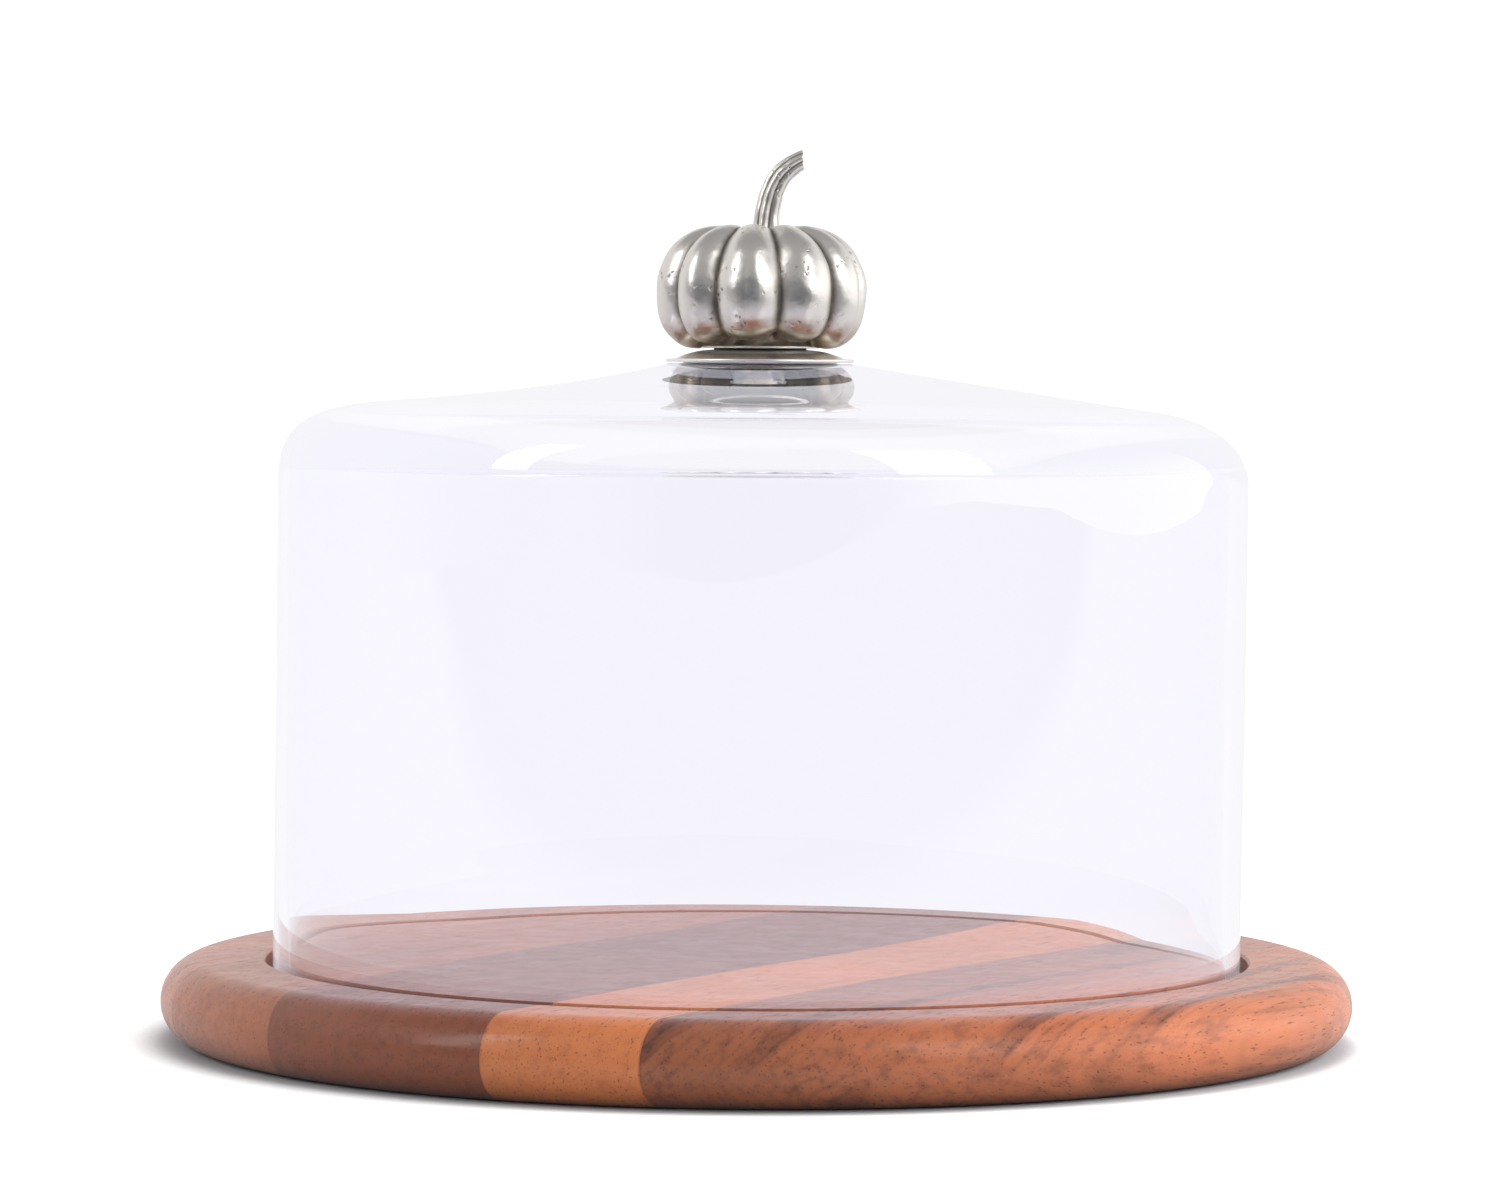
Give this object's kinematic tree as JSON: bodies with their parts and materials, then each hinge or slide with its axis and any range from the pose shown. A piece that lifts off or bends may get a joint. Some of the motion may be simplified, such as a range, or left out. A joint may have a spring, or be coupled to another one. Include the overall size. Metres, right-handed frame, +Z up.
{
  "type": "cheese dome",
  "caption": "Clear blown-glass cheese dome with a cast pewter pumpkin knob, standing in the grooved rim of a round bullnosed board glued up from hardwood staves.",
  "frame": {"origin": "centre of the board's flat underside", "axes": "+Z up along the axis of the board, dome and knob; the pumpkin's stem bends towards +X; -Y is the front"},
  "size_m": [0.3556, 0.3556, 0.265],
  "materials": {
    "wood_red_brown": "oiled, satin",
    "wood_mid_brown": "oiled, satin",
    "wood_dark_brown": "oiled, satin",
    "wood_light_brown": "oiled, satin",
    "clear_glass": "clear, polished",
    "clear_gasket": "translucent",
    "nylon": "matte",
    "pewter": "cast pewter, satin",
    "dark_rubber": "matte",
    "steel": "bright"
  },
  "bodies": {
    "board": {"board_stave_1": "wood_red_brown", "board_stave_2": "wood_mid_brown", "board_stave_3": "wood_dark_brown", "board_stave_4": "wood_light_brown", "board_stave_5": "wood_mid_brown"},
    "cover": {"glass_dome": "clear_glass", "upper_gasket": "clear_gasket", "lower_gasket": "dark_rubber", "centring_bush": "nylon", "top_escutcheon": "pewter", "lower_escutcheon": "pewter"},
    "knob": {"seat_washer": "dark_rubber", "pumpkin_foot": "pewter", "pumpkin_body": "pewter", "pumpkin_stem": "pewter", "clamp_screw": "steel"}
  },
  "joints": [
    {"name": "dome_lift", "type": "slide", "parent": "board", "child": "cover", "axis": [0, 0, 1], "range_m": [0, 0.25]},
    {"name": "knob_turn", "type": "hinge", "parent": "cover", "child": "knob", "pos_m": [0, 0, 0.2], "axis": [0, 0, 1], "continuous": true}
  ]
}
